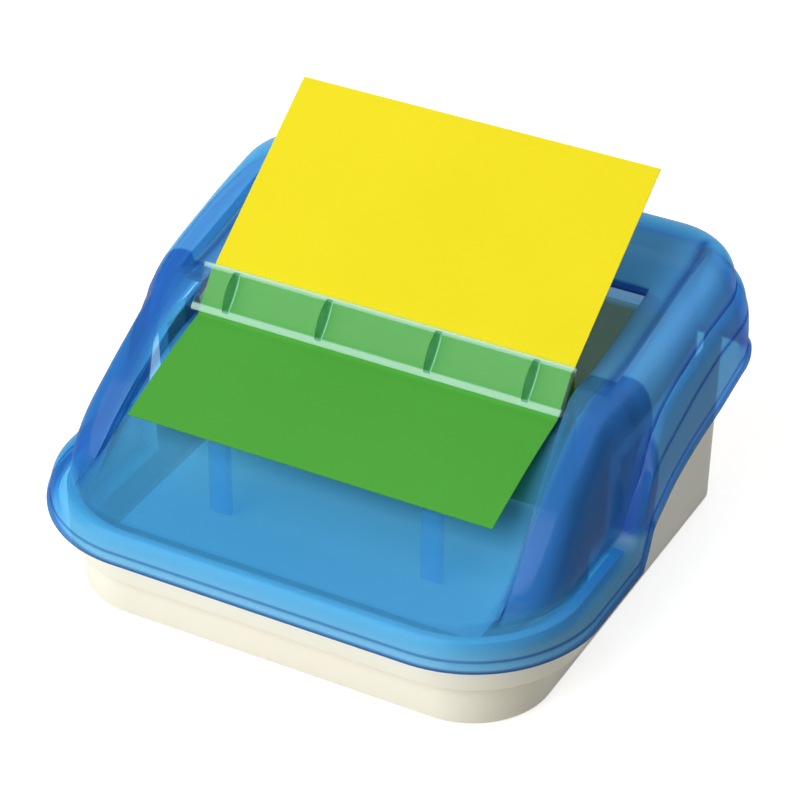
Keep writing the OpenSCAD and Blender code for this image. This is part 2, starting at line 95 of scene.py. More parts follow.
def gridFaces(m, n, closeRows=True, closeColumns=True):  # quads of an m by n grid, row after row
    rows, columns = m if closeRows else m - 1, n if closeColumns else n - 1
    i, j = (q.ravel() for q in np.meshgrid(np.arange(rows), np.arange(columns), indexing="ij"))
    k, l = (i + 1) % m, (j + 1) % n
    return np.stack([i * n + j, k * n + j, k * n + l, i * n + l], axis=1)


def volume(points, quads):
    # signed volume inside a closed mesh, a sixth of the sum of its triangles' triple products; a fourth
    # index of -1 marks a triangle
    a, b, c, d = (points[quads[:, q]] for q in range(4))
    second = (np.cross(a, c) * d).sum(1) * (quads[:, 3] >= 0)
    return float((np.cross(a, b) * c).sum() + second.sum()) / 6


def linked(name, data):  # a new object in the scene
    thing = bpy.data.objects.new(name, data)
    bpy.context.scene.collection.objects.link(thing)
    return thing


class Body:  # gathers closed grids, then makes one object of them
    def __init__(self):
        self.points, self.quads, self.marks, self.count = [], [], [], 0

    def add(self, points, quads, marks=0.0):  # turned outward if its volume comes out negative
        points = np.asarray(points, float)
        four = quads[:, 3] >= 0
        if volume(points, quads) < 0:
            quads = np.where(four[:, None], quads[:, ::-1], quads[:, [0, 2, 1, 3]])
        self.points.append(points)
        self.quads += (quads[four] + self.count).tolist() + (quads[~four, :3] + self.count).tolist()
        self.marks.append(np.broadcast_to(marks, len(points)))
        self.count += len(points)

    def make(self, name, body, material, nodes, sharp):  # sharp: angle of a hard edge in degrees
        points = metres(np.concatenate(self.points))
        mesh = bpy.data.meshes.new(name)
        mesh.from_pydata(points, [], self.quads)
        mesh.validate()
        mesh.polygons.foreach_set("use_smooth", np.ones(len(mesh.polygons), bool))
        # per point: deeper tint for thicker plastic, painted shade lines and painted highlights
        mark = mesh.attributes.new("tintAndPaintedLight", "FLOAT", "POINT")
        mark.data.foreach_set("value", np.concatenate(self.marks).astype(np.float32))
        mesh.update()
        mesh.set_sharp_from_angle(angle=math.radians(sharp))
        mesh.materials.append(material)
        piece = linked(name, mesh)
        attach(piece, body)
        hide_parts(*nodes)


def roundedBox(low, high, r):
    # a block whose upright corners are arcs of radius r and whose top and bottom edges are cut
    low, high = np.array(low, float), np.array(high, float)
    a = np.radians(np.concatenate([np.linspace(q, q + 90, 5) for q in (-90, 0, 90, 180)]))
    corner = np.repeat([[1, 0], [1, 1], [0, 1], [0, 0]], 5, axis=0)
    e = min(r * 0.6, (high[2] - low[2]) * 0.3)

    def ring(inset, z):  # the outline at height z, drawn in by the inset
        rr = max(r - inset, 0.01)
        cx = np.where(corner[:, 0] > 0, high[0] - inset - rr, low[0] + inset + rr)
        cy = np.where(corner[:, 1] > 0, high[1] - inset - rr, low[1] + inset + rr)
        return np.stack([cx + rr * np.cos(a), cy + rr * np.sin(a), np.full(len(a), z)], axis=1)

    middle = (low + high) / 2
    rings = [ring(e, low[2]), ring(e * 0.3, low[2] + e * 0.3), ring(0, low[2] + e),
             ring(0, high[2] - e), ring(e * 0.3, high[2] - e * 0.3), ring(e, high[2])]
    bottom = np.tile([middle[0], middle[1], low[2]], (len(a), 1))
    top = np.tile([middle[0], middle[1], high[2]], (len(a), 1))
    points = np.stack([bottom, *rings, top], axis=1)
    return closeEnds(points)


def closeEnds(points):  # a closed fan of lines that all start at one pole and end at another: (m, n, 3)
    m, n = points.shape[:2]
    body = points[:, 1:-1].reshape(-1, 3)
    quads = gridFaces(m, n - 2, True, False)
    i = np.arange(m)
    k = (i + 1) % m
    first, last = len(body), len(body) + 1
    caps = np.concatenate([
        np.stack([np.full(m, first), k * (n - 2), i * (n - 2), np.full(m, -1)], axis=1),
        np.stack([np.full(m, last), i * (n - 2) + n - 3, k * (n - 2) + n - 3, np.full(m, -1)], axis=1)])
    return np.concatenate([body, points[:1, 0], points[:1, -1]]), np.concatenate([quads, caps])


def extrudeX(outline, x0, x1, edge, steps):  # an (n, 2) outline in y, z carried along x, end edges cut
    outline = np.asarray(outline, float)
    centre = outline.mean(0)
    reach = np.linalg.norm(outline - centre, axis=1, keepdims=True)
    small = centre + (outline - centre) * np.maximum(1 - edge / np.maximum(reach, 1e-6), 0.2)
    xs = [x0, x0, *np.linspace(x0 + edge, x1 - edge, steps + 1), x1, x1]
    rings = [np.tile(centre, (len(outline), 1)), small, *[outline] * (steps + 1), small,
             np.tile(centre, (len(outline), 1))]
    points = np.stack([np.column_stack([np.full(len(outline), x), r]) for x, r in zip(xs, rings)], axis=1)
    return closeEnds(points)


def tube(centre, axis, length, radius, sides=40, edge=0.2):  # a round pin along x, y or z, both end edges cut
    a = np.linspace(0, 2 * np.pi, sides, endpoint=False)
    u = [k for k in range(3) if k != axis]
    profile = [(0, 0), (radius - edge, 0), (radius, edge),
               (radius, length - edge), (radius - edge, length), (0, length)]
    points = np.zeros((sides, len(profile), 3))
    for n, (r, h) in enumerate(profile):
        points[:, n, u[0]] = r * np.cos(a)
        points[:, n, u[1]] = r * np.sin(a)
        points[:, n, axis] = h
    return closeEnds(points + np.array(centre, float))


# Shader helpers
class Val:  # a number in a node tree that Python arithmetic works on
    def __init__(self, tree, socket):
        self.tree, self.socket = tree, socket

    def math(self, operation, other=0.0, swap=False):  # adds a Math node; swap puts the other first
        node = self.tree.nodes.new("ShaderNodeMath")
        node.operation = operation
        for k, value in enumerate((other, self) if swap else (self, other)):
            if isinstance(value, Val):
                self.tree.links.new(value.socket, node.inputs[k])
            else:
                node.inputs[k].default_value = value
        return Val(self.tree, node.outputs[0])

    def __add__(self, other):
        return self.math("ADD", other)

    def __sub__(self, other):
        return self.math("SUBTRACT", other)

    def __rsub__(self, other):
        return self.math("SUBTRACT", other, True)

    def __mul__(self, other):
        return self.math("MULTIPLY", other)

    def __pow__(self, other):
        return self.math("POWER", other)

    __radd__, __rmul__ = __add__, __mul__


class Finish:  # one material and its node tree
    def __init__(self, name):
        self.material = bpy.data.materials.new(name)
        self.material.use_nodes = True
        self.tree = self.material.node_tree
        self.tree.nodes.clear()
        self.place = self.node("TexCoord").outputs["Object"]

    def node(self, kind, values=None, **settings):  # its settings first, then its sockets' values or links
        node = self.tree.nodes.new("ShaderNode" + kind)
        for key, value in settings.items():
            setattr(node, key, value)
        for key, value in (values or {}).items():
            self.put(node.inputs[key], value)
        return node

    def put(self, socket, value):  # a link if the value comes from a node, else a plain value
        if isinstance(value, Val):
            value = value.socket
        if isinstance(value, bpy.types.Node):
            value = value.outputs[0]
        if isinstance(value, bpy.types.NodeSocket):
            self.tree.links.new(value, socket)
        else:
            socket.default_value = value

    def val(self, node, output=0):  # a node's output as a number to reckon with
        return Val(self.tree, node.outputs[output])

    def noise(self, scale, detail=3.0, stretch=(1, 1, 1), roughness=0.5):  # from 0 to 1, about 0.5
        moved = self.node("Mapping", {"Vector": self.place, "Scale": stretch})
        return self.val(self.node("TexNoise", {
            "Vector": moved, "Scale": scale, "Detail": detail, "Roughness": roughness}))

    def blend(self, factor, a, b):  # the factor's share of the way from colour a to colour b
        return self.node("Mix", {0: factor, 6: a, 7: b}, data_type="RGBA", blend_type="MIX").outputs[2]

    def bump(self, height, distance):  # a surface direction as if it rose by that distance at height 1
        return self.node("Bump", {"Height": height, "Distance": distance, "Strength": 1.0})

    def mark(self, name):  # a value that the mesh carries at its points
        return self.val(self.node("Attribute", attribute_name=name), "Fac")

    def output(self, shader):  # the material, with this shader as its surface
        self.node("OutputMaterial", {"Surface": shader})
        return self.material


def rgb(r, g, b):  # a linear colour without transparency
    return (r, g, b, 1.0)


def dimmed(colour, share):  # the same colour at a share of its brightness
    return rgb(*(q * share for q in colour[:3]))


def held(value, scale):  # a node's value times scale, held between 0 and 1
    return (value * scale).math("MAXIMUM", 0).math("MINIMUM", 1)


# Finishes
print("finishes")
ivoryLook = dict(colour=rgb(0.94, 0.92, 0.81), deep=rgb(0.91, 0.885, 0.76), grain=0.000012)
# front and frontBody: deeper tint and a darker body in the front humps, partly painted shade
coverLook = dict(tint=rgb(0.0, 0.73, 0.95), density=400.0, deep=rgb(0.015, 0.11, 0.47),
                 body=rgb(0.13, 0.52, 0.88), cloud=0.25, gloss=0.12, edge=0.55,
                 front=0.42, frontBody=rgb(0.05, 0.25, 0.68), hoodCloud=0.2, hoodBody=rgb(0.18, 0.58, 1.0))
# the front humps' area, where shade is partly painted into the tint
humpArea = dict(front=-0.0055, slant=0.28, shelf=0.0228, aside=0.0418, above=0.0239,  # metres, row frame
                frontSoft=1500, asideSoft=500, aboveSoft=700)  # how fast each edge of the area fades in
barLook = dict(tint=rgb(0.72, 1.0, 0.93), density=110.0, deep=rgb(0.16, 0.58, 0.34),
               body=rgb(0.66, 0.95, 0.86), cloud=0.02, gloss=0.12)
clearMix = dict(face=rgb(0.98, 0.99, 1.0), uneven=0.04, edgePower=7, calm=0.8, humpCloud=0.45,
                sheenLow=0.05, sheenHigh=0.45, sheenPower=5)
paperLook = dict(yellow=rgb(0.82, 0.70, 0.007), green=rgb(0.070, 0.365, 0.038),
                 white=rgb(0.80, 0.82, 0.80), stackTint=rgb(0.70, 0.76, 0.66), stackLines=9000)
fittingLook = dict(steel=rgb(0.56, 0.56, 0.58), zinc=rgb(0.72, 0.72, 0.74), rubber=rgb(0.55, 0.55, 0.54))


def makeIvory(name, colour, deep, grain):  # satin moulded plastic with a fine spark grain
    f = Finish(name)
    broad = f.noise(18, 2)
    fine = f.noise(2600, 2)
    tone = f.blend(broad, colour, deep)
    shader = f.node("BsdfPrincipled", {
        "Base Color": tone, "Roughness": 0.34 + 0.12 * broad, "IOR": 1.5, "Coat Weight": 0.12,
        "Coat Roughness": 0.2, "Normal": f.bump(fine, grain)})
    return f.output(shader)


def humpShares(f):
    # two shares from 0 to 1: lies before the slanted edge, and is one of the two humps there
    area = humpArea
    axes = f.node("SeparateXYZ", {0: f.place})
    ahead = area["front"] - f.val(axes, "Y") + area["slant"] * (f.val(axes, "Z") - area["shelf"])
    aside = f.val(axes, "X").math("ABSOLUTE") - area["aside"]
    above = f.val(axes, "Z") - area["above"]
    forward = held(ahead, area["frontSoft"])
    return forward, forward * held(aside, area["asideSoft"]) * held(above, area["aboveSoft"])


def makeClear(name, tint, density, deep, body, cloud, gloss, edge=0.0, front=0.0, frontBody=None,
              hoodCloud=0.0, hoodBody=None):
    # see-through plastic: tinted by the way that light goes inside it, faintly clouded, with gloss; the
    # mesh's marks add deeper tint for thicker plastic, painted shade lines and painted highlights
    q = clearMix
    f = Finish(name)
    broad = f.noise(25, 2)
    wave = f.noise(60, 1)
    facing = f.val(f.node("LayerWeight", {"Blend": 0.5}), "Facing")
    mark = f.mark("tintAndPaintedLight")  # above 0: deeper tint, for thicker plastic and as painted shade lines; below 0: more cloud, as a painted highlight
    # the tint deepens at marks, which are thicker plastic and painted shade lines, and, by a power of how far
    # the wall turns away, where it is seen edge on
    depth = mark.math("MAXIMUM", 0) + q["uneven"] * broad + edge * facing ** q["edgePower"]
    depth = depth.math("MINIMUM", 1)
    mist = cloud * (0.85 + 0.3 * broad)
    if front > 0:  # deeper humps in front, partly painted shade of the dark space under them and partly cloudier plastic; more cloud in the hood behind them, less where the tint is deep
        forward, hump = humpShares(f)
        mist = (mist + hoodCloud * (1 - forward)) * (1 - q["calm"] * depth) + q["humpCloud"] * front * hump
        depth = (depth + front * hump).math("MINIMUM", 1)
        body = f.blend(hump, f.blend(forward, hoodBody, body), frontBody)
    # negative marks add cloud: painted highlights
    mist = mist - mark.math("MINIMUM", 0)
    face = f.node("BsdfTransparent", {"Color": q["face"]})
    dark = f.node("BsdfTransparent", {"Color": deep})
    window = f.node("MixShader", {0: depth, 1: face, 2: dark})
    solid = f.node("BsdfPrincipled", {
        "Base Color": body, "Roughness": 0.4, "IOR": 1.5, "Specular IOR Level": 0.1})
    inside = f.node("MixShader", {0: mist, 1: window, 2: solid})
    shine = f.node("BsdfAnisotropic", {
        "Color": rgb(1, 1, 1), "Roughness": 0.12, "Normal": f.bump(wave, 0.00004)})
    # a plain gloss law, the same from both sides of a wall
    sheen = (q["sheenLow"] + q["sheenHigh"] * facing ** q["sheenPower"]) * gloss
    shader = f.node("MixShader", {0: sheen, 1: inside, 2: shine})
    # light on its way in isn't held up by cloud and gloss, so that what lies inside isn't left dark
    path = f.node("LightPath")
    lit = f.node("BsdfTransparent", {"Color": q["face"]})
    shader = f.node("MixShader", {0: path.outputs["Is Shadow Ray"], 1: shader, 2: lit})
    absorb = f.node("VolumeAbsorption", {"Color": tint, "Density": density})
    f.node("OutputMaterial", {"Surface": shader, "Volume": absorb})
    return f.material


def makePaper(name, colour):  # plain dyed paper: faint fibres, no gloss
    f = Finish(name)
    fibre = f.noise(900, 4, (1, 2.5, 1), 0.6)
    broad = f.noise(30, 3)
    pale = rgb(*(min(1, c * 1.05 + 0.01) for c in colour[:3]))
    tone = f.blend(0.35 * fibre + 0.65 * broad, dimmed(colour, 0.93), pale)
    shader = f.node("BsdfPrincipled", {
        "Base Color": tone, "Roughness": 0.72 + 0.16 * fibre, "IOR": 1.4, "Specular IOR Level": 0.25,
        "Normal": f.bump(fibre, 0.00002)})
    return f.output(shader)


def makeStack(name):  # cut edges of a stack: fine level lines in two paper colours
    f = Finish(name)
    height = f.val(f.node("SeparateXYZ", {0: f.place}), "Z")
    layer = (height * paperLook["stackLines"]).math("FRACT")
    alternate = (height * (paperLook["stackLines"] / 2)).math("FRACT").math("GREATER_THAN", 0.5)
    fine = f.noise(1500, 2)
    tone = f.blend(0.25 * alternate + 0.2 * fine, paperLook["white"], paperLook["stackTint"])
    shader = f.node("BsdfPrincipled", {
        "Base Color": tone, "Roughness": 0.8 + 0.1 * fine, "IOR": 1.4, "Specular IOR Level": 0.2,
        "Normal": f.bump(layer, 0.00003)})
    return f.output(shader)


def makeMetal(name, colour, roughness):  # rolled or plated metal with faint streaks
    f = Finish(name)
    streak = f.noise(400, 3, (1, 12, 1))
    tone = f.blend(streak, colour, dimmed(colour, 0.8))
    shader = f.node("BsdfPrincipled", {
        "Base Color": tone, "Metallic": 1.0, "Roughness": roughness + 0.15 * streak,
        "Normal": f.bump(streak, 0.00001)})
    return f.output(shader)


def makeRubber(name, colour):  # matt and finely grained
    f = Finish(name)
    fine = f.noise(1800, 3)
    tone = f.blend(fine, colour, dimmed(colour, 0.85))
    shader = f.node("BsdfPrincipled", {
        "Base Color": tone, "Roughness": 0.75 + 0.15 * fine, "IOR": 1.5, "Specular IOR Level": 0.3,
        "Normal": f.bump(fine, 0.00003)})
    return f.output(shader)


ivory = makeIvory("ivoryPlastic", **ivoryLook)
clearBlue = makeClear("clearBluePlastic", **coverLook)
clearBar = makeClear("clearBarPlastic", **barLook)
yellowPaper = makePaper("yellowPaper", paperLook["yellow"])
greenPaper = makePaper("greenPaper", paperLook["green"])
stackPaper = makeStack("stackPaper")
steel = makeMetal("rolledSteel", fittingLook["steel"], 0.32)
zinc = makeMetal("zincScrews", fittingLook["zinc"], 0.25)
rubber = makeRubber("paleRubber", fittingLook["rubber"])


# The cover's surface, by the same lines and heights as its solid
print("cover")
coverSize = dict(halfWidth=56.75, depth=107.0, frontRadius=26.0, rearRadius=20.0, wall=2.0, shelf=22.8,
                 roof=56.2, slotHalf=39.2, slotFront=47.5, slotRear=81.0, shelfIn=4.7, shoulderIn=3.7,
                 flank=5.5, rearFlank=3.8)
# deeper tints of the cover's skin: painted shade lines at the fold, groove, underside, shoulder, slot lip and
# channel walls, and partly painted shade on the sides
coverShadeAndTint = dict(fold=0.8, groove=0.7, underside=0.8, ring=0.08, side=0.2, shoulder=0.7, slotLip=0.85,
                 rearInside=0.4, rearTop=0.3, rib=0.75, channelWall=0.3, most=0.9,
                 grooveUp=2.4, hoodFrom=4.0, rearFrom=99.0, insideTo=46.0, topFrom=44.0)
c = coverSize
stepY = 0.413 * c["depth"]
tipX = c["slotHalf"] + 5.1
recessHalf = c["slotHalf"] + 6.2


def bodyHeight(f):  # share f of the way from shelf to roof
    return c["shelf"] + (c["roof"] - c["shelf"]) * f


def shares(pairs, start=0.0):  # a table of distances and shares of the body's height
    return [(start + d, bodyHeight(f)) for d, f in pairs]


rimLine = [(stepY, 16), (stepY + 2, 19.2), (stepY + 4, 23.2), (stepY + 8, 25.7), (stepY + 13, 28.3),
           (stepY + 23, 31), (stepY + 34, 32.9), (stepY + 43, 35), (stepY + 51, 35.2), (stepY + 59, 32),
           (107, 29.4)]
bandLine = shares([(-0.5, -1.5 / 32.8), (1.4, 0.1), (3.6, 0.3), (7.6, 0.4), (13, 0.47), (26, 0.6), (37, 0.66),
                   (107 - stepY, 0.68)], stepY)
shoulderLine = shares([(-0.5, 0), (1.6, 0.15), (3.2, 0.25), (5.4, 0.36), (8, 0.5), (12, 0.61), (19, 0.69),
                       (37, 0.79), (107 - stepY, 0.83)], stepY)
crestLine = shares([(14, 0.06), (17, 0.128), (22, 0.275), (28, 0.422), (35, 0.56), (45, 0.722), (52, 0.788),
                    (60, 0.83), (70, 0.884), (80, 0.942), (90, 0.985), (97, 1)])
floorLine = shares([(4.7, 0), (17, 0.108), (26, 0.285), (36, 0.481), (43.5, 0.579), (47.5, 0.609)])
recessLine = [(49.5, 0), (55.5, 1.5), (63.5, 2), (88, 2), (95, 0)]


def footInset(y):  # how far in from the rim the body starts, wider in front of the rim's step
    return mix(c["shelfIn"], c["shoulderIn"], np.clip((y - stepY - 0.5) / 4, 0, 1))


def depthInside(x, y):
    # distance in from the rim's outline in plan: the smallest of those to the straight sides, or at a
    # corner its radius less the distance from its centre
    x = np.abs(x)
    rf, rr = c["frontRadius"], c["rearRadius"]
    straight = np.minimum(np.minimum(c["halfWidth"] - x, y), c["depth"] - y)
    front = rf - np.hypot(x - c["halfWidth"] + rf, rf - y)
    rear = rr - np.hypot(x - c["halfWidth"] + rr, y - c["depth"] + rr)
    sideZone = x > c["halfWidth"] - rf
    return np.where(sideZone & (y < rf), front,
                    np.where((x > c["halfWidth"] - rr) & (y > c["depth"] - rr), rear, straight))


def roofHeight(x, y):  # the higher one of crest and channel floor, less the shallow recess behind the bar
    sunk = curve(y, recessLine) * smoothStep((recessHalf + 0.5 - np.abs(x)) / 1.0)
    return np.maximum(curve(y, crestLine), curve(y, floorLine)) - sunk


def flankRise(t):  # quarter of an ellipse, upright at the shoulder and level at the crest
    t = np.clip(t, 0, 1)
    return np.sqrt(np.maximum(1 - (1 - t) ** 2, 0))


def coverLines():  # rim point, inward direction, slot point and channel flag of each line of the right half
    hw, rf, rr, d = c["halfWidth"], c["frontRadius"], c["rearRadius"], c["depth"]
    half, front, back = c["slotHalf"], c["slotFront"], c["slotRear"]
    cornerEnd = 2.5  # how far the slot's corner lines reach along its side
    rim, inward, slot, channel = [], [], [], []

    def add(r, i, s, ch):  # as many lines as s has points; r and i may be one value for all of them
        rim.append(np.broadcast_to(r, (len(s), 2)))
        inward.append(np.broadcast_to(i, (len(s), 2)))
        slot.append(s)
        channel.append(np.full(len(s), ch))

    def frontArc(a):  # rim points at angles round the front corner, and their inward directions
        return columns(hw - rf + rf * np.sin(a), rf - rf * np.cos(a)), columns(-np.sin(a), np.cos(a))

    u = np.linspace(0, 1, 45)[1:]
    x = tipX * u
    a = np.arcsin(np.clip((x - hw + rf) / (rf - c["shelfIn"]), 0, 1))
    r, i = frontArc(a)
    r[:, 0] = np.where(x < hw - rf, x, r[:, 0])
    add(r, i, columns(half * u, front), True)
    fanA = mix(a[-1] + math.radians(0.8), np.pi / 2, np.linspace(0, 1, 46) ** 1.2)
    fanY = np.concatenate([np.linspace(rf, stepY, 22)[1:], np.linspace(stepY, stepY + 6.6, 30)[1:]])
    r1, i1 = frontArc(fanA)
    r = np.concatenate([r1, columns(hw, fanY)])
    i = np.concatenate([i1, np.tile([-1.0, 0.0], (len(fanY), 1))])
    k = np.arange(1, len(r) + 1) / (len(r) + 1)
    add(r, i, columns(half, front + cornerEnd * k), False)
    u = np.linspace(0, 1, 40)
    y = mix(front + cornerEnd, back - cornerEnd, u)
    rimY = mix(stepY + 8, y, np.clip(3 * u + 0.2, 0, 1))
    add(columns(hw, rimY), [-1.0, 0.0], columns(half, y), False)
    u = np.linspace(0, 1, 38)
    a = u * np.pi / 2
    add(columns(hw - rr + rr * np.cos(a), d - rr + rr * np.sin(a)), columns(-np.cos(a), -np.sin(a)),
        columns(half, back - cornerEnd + cornerEnd * (u * 0.94 + 0.03)), False)
    u = np.linspace(1, 0, 31)[1:-1]
    add(columns((hw - rr) * u, d), [0.0, -1.0], columns(half * u, back), False)
    return [np.concatenate(q) for q in (rim, inward, slot, channel)]


def wholeRound(half):  # the right half, then the rear middle, then its mirror image back to the front
    rim, inward, slot, channel = half
    flipped = np.array([-1.0, 1.0])
    front = ([[0, 0.0]], [[0, 1.0]], [[0, c["slotFront"]]], [True])
    rear = ([[0, c["depth"]]], [[0, -1.0]], [[0, c["slotRear"]]], [False])
    out = []
    for k, q in enumerate((rim, inward, slot, channel)):
        mirrored = q[::-1] * flipped if k < 3 else q[::-1]
        out.append(np.concatenate([front[k], q, rear[k], mirrored]))
    return out


def topRow(lines, t, skin):
    # points of the body's top at shares t of the way from shoulder to slot, moved in by skin: (m, len(t), 3);
    # the height goes from the shoulder line to the roof by a quarter ellipse over the flank's width
    rim, inward, slot, channel = (q[:, None] for q in lines)
    t = np.asarray(t, float)[None, :]
    inset = footInset(rim[..., 1]) + skin
    cx, cy = rim[..., 0] + inward[..., 0] * inset, rim[..., 1] + inward[..., 1] * inset
    atSide = np.abs(slot[..., 0]) >= c["slotHalf"] - 1e-6
    shift = np.where(atSide & (t < 1), np.sign(slot[..., 0]) * skin, 0)
    x, y = mix(cx, slot[..., 0] + shift, t), mix(cy, slot[..., 1], t)
    low = curve(y, shoulderLine) - skin
    flank = mix(c["flank"], c["rearFlank"], np.clip((y - c["slotFront"] - 12) / 35, 0, 1))
    rise = flankRise((depthInside(x, y) - skin - footInset(y)) / flank)
    body = mix(low, roofHeight(x, y) - skin * 1.15, rise)
    z = np.where(channel, curve(y, floorLine) - skin * 1.15, body)
    return np.stack([x, y, z], axis=-1)


def ringRow(lines, inset, z):  # one point on each line, so far in from the rim and at height z
    rim, inward = lines[0], lines[1]
    inset = np.broadcast_to(inset, len(rim))
    return np.column_stack([rim + inward * inset[:, None], np.broadcast_to(z, len(rim))])


def coverMarks(points, lines, first, lipAt, innerEnd):
    # how much deeper the skin looks: painted shade lines at the hood's fold, the rim's groove and underside,
    # the shoulder, the slot's lip and along the channel's walls; the sides partly painted shade; a slight
    # deeper tint all round the rim, on the rear wall and over the rib
    t, arm = coverShadeAndTint, armSize
    y, channel = lines[0][:, 1], lines[3]
    rim, band = curve(y, rimLine)[:, None], curve(y, bandLine)[:, None]
    hood = ramp(y, stepY + t["hoodFrom"], 6)
    marks = np.zeros(points.shape[:2])
    z = points[:, :first, 2]
    # painted shade: dark lines at the hood's fold, at the groove and along the rim's underside
    fold = t["fold"] * bell(z, band - 0.2, 0.35) * hood[:, None]
    groove = t["groove"] * bell(z, rim + t["grooveUp"], 0.3)
    underside = t["underside"] * smoothStep(1.3 - (z - rim) / 0.8)
    # the sides deeper: partly painted shade, partly the longer way through the rim
    side = lines[1][:, :1] ** 2 * ramp(z, rim, 1.5)
    marks[:, :first] = np.maximum(np.maximum(fold, groove), underside) + t["ring"] + t["side"] * side
    # painted shade lines along the shoulder and at the slot's lip
    marks[:, first - 1] = 0.1 + t["shoulder"] * hood
    marks[:, lipAt:lipAt + 3] = t["slotLip"]
    inner = points[:, lipAt + 3:]
    rear = t["rearInside"] * ramp(y, t["rearFrom"], 4)[:, None] * ramp(inner[..., 2], rim, 3)
    marks[:, lipAt + 3:] = np.maximum(marks[:, lipAt + 3:], rear * (inner[..., 2] < t["insideTo"]))
    x, y, z = np.moveaxis(points[:, first:lipAt], -1, 0)
    ribAcross = bell(np.abs(x), arm["outer"] - arm["thick"] / 2, 1.1)
    ribAlong = ramp(y, arm["ribFront"], 3) * (1 - ramp(y, arm["axisY"] + arm["armTop"] - 2, 2))
    marks[:, first:lipAt] += t["rearTop"] * ramp(y, t["rearFrom"], 4) * ramp(z, t["topFrom"], 4)
    marks[:, first:lipAt] += t["rib"] * ribAcross * ribAlong
    # painted shade along the channel's walls
    wallLine = (channel != np.roll(channel, 1)) | (channel != np.roll(channel, -1))
    marks[wallLine, first + 8:lipAt] += t["channelWall"]
    marks[wallLine, lipAt + 3:innerEnd - 7] += t["channelWall"]
    return np.clip(marks, 0, t["most"])


def buildCover():
    # a closed ring of wall sections: up outside from the rim, over the top to the slot's lip, back inside
    lines = wholeRound(coverLines())
    y, w = lines[0][:, 1], c["wall"]
    rim, band, foot = curve(y, rimLine), curve(y, bandLine), footInset(y)
    shoulder = curve(y, shoulderLine)
    # each pair is an inset from the rim's outline and a height: lip, groove, band, fold and shoulder
    outside = [(0.9, rim + 0.05), (0.35, rim), (0, rim + 0.35), (0, rim + 1.5), (0.55, rim + 1.95),
               (0.75, rim + 2.3), (0.85, mix(rim + 1.9, band, 0.6)), (1.1, band - 0.5), (1.35, band + 0.1),
               (mix(1.1, foot, 0.35), mix(band, shoulder, 0.72)), (foot - 0.5, shoulder - 0.12),
               (foot, shoulder)]
    within = [(foot + w, shoulder - w), (w + mix(1.1, foot, 0.3), mix(band, shoulder, 0.7) - w * 0.85),
              (w + 1.1, band - 0.3 - w * 0.6), (w + 0.4, mix(rim + 2, band, 0.4)), (w + 0.1, rim + 0.4),
              (w - 0.3, rim + 0.02)]
    outerFoot = np.stack([ringRow(lines, *p) for p in outside], axis=1)
    innerFoot = np.stack([ringRow(lines, *p) for p in within], axis=1)
    steps = np.concatenate([np.linspace(0.012, 0.34, 26), np.linspace(0.36, 0.5, 6),
                            np.linspace(0.515, 0.62, 12), np.linspace(0.65, 0.985, 12)])
    outerTop = topRow(lines, steps, 0)
    lip = topRow(lines, [1.0], 0)
    drop = np.array([0, 0, 1.0])
    edge = np.concatenate([lip - drop * 0.35, lip - drop * 1.95], axis=1)
    innerTop = topRow(lines, steps[steps < 0.965][::-1], w)
    outer = roundCorners(outerFoot, 2)
    inner = roundCorners(innerFoot, 1)
    points = np.concatenate([outer, outerTop, edge, innerTop, inner], axis=1)
    m, n = points.shape[:2]
    first = outer.shape[1]
    marks = coverMarks(points, lines, first, first + outerTop.shape[1], n - inner.shape[1])
    shell = Body()
    shell.add(points.reshape(-1, 3), gridFaces(m, n), marks.ravel())
    addArms(shell)
    addFingers(shell)
    shell.make("coverShell", "lid", clearBlue, ["cover"], 32)


armSize = dict(outer=44.8, thick=1.8, axisY=88.3, axisZ=20.0, hub=4.6, peg=2.1, pegEnd=47.5, ribFront=51.5,
               ribDrop=2.3, armTop=9.2, underRoof=2.2, cut=0.18, overlap=0.3, ribTint=0.85, armTint=0.1)
fingerSize = dict(x=22.5, width=4.0, y=26.0, thick=2.0, foot=14.5)


def plate(low, high, x0, x1, cut):  # a plate across x between two lines of equal length, in y and z
    low, high = np.asarray(low, float), np.asarray(high, float)
    n = len(low)
    inLow, inHigh = mix(low, high, 0.06), mix(high, low, 0.06)

    def row(line, x):  # the line's points, all at one x
        return np.column_stack([np.full(n, x), line])

    rows = [row(inLow, x0), row(low, x0 + cut), row(low, x1 - cut), row(inLow, x1),
            row(inHigh, x1), row(high, x1 - cut), row(high, x0 + cut), row(inHigh, x0)]
    points = np.stack(rows, axis=0)
    ends = points[:, [0, -1]].mean(axis=0, keepdims=True)
    points = np.concatenate([np.repeat(ends[:, :1], 8, 0), points, np.repeat(ends[:, 1:], 8, 0)], axis=1)
    return closeEnds(points)


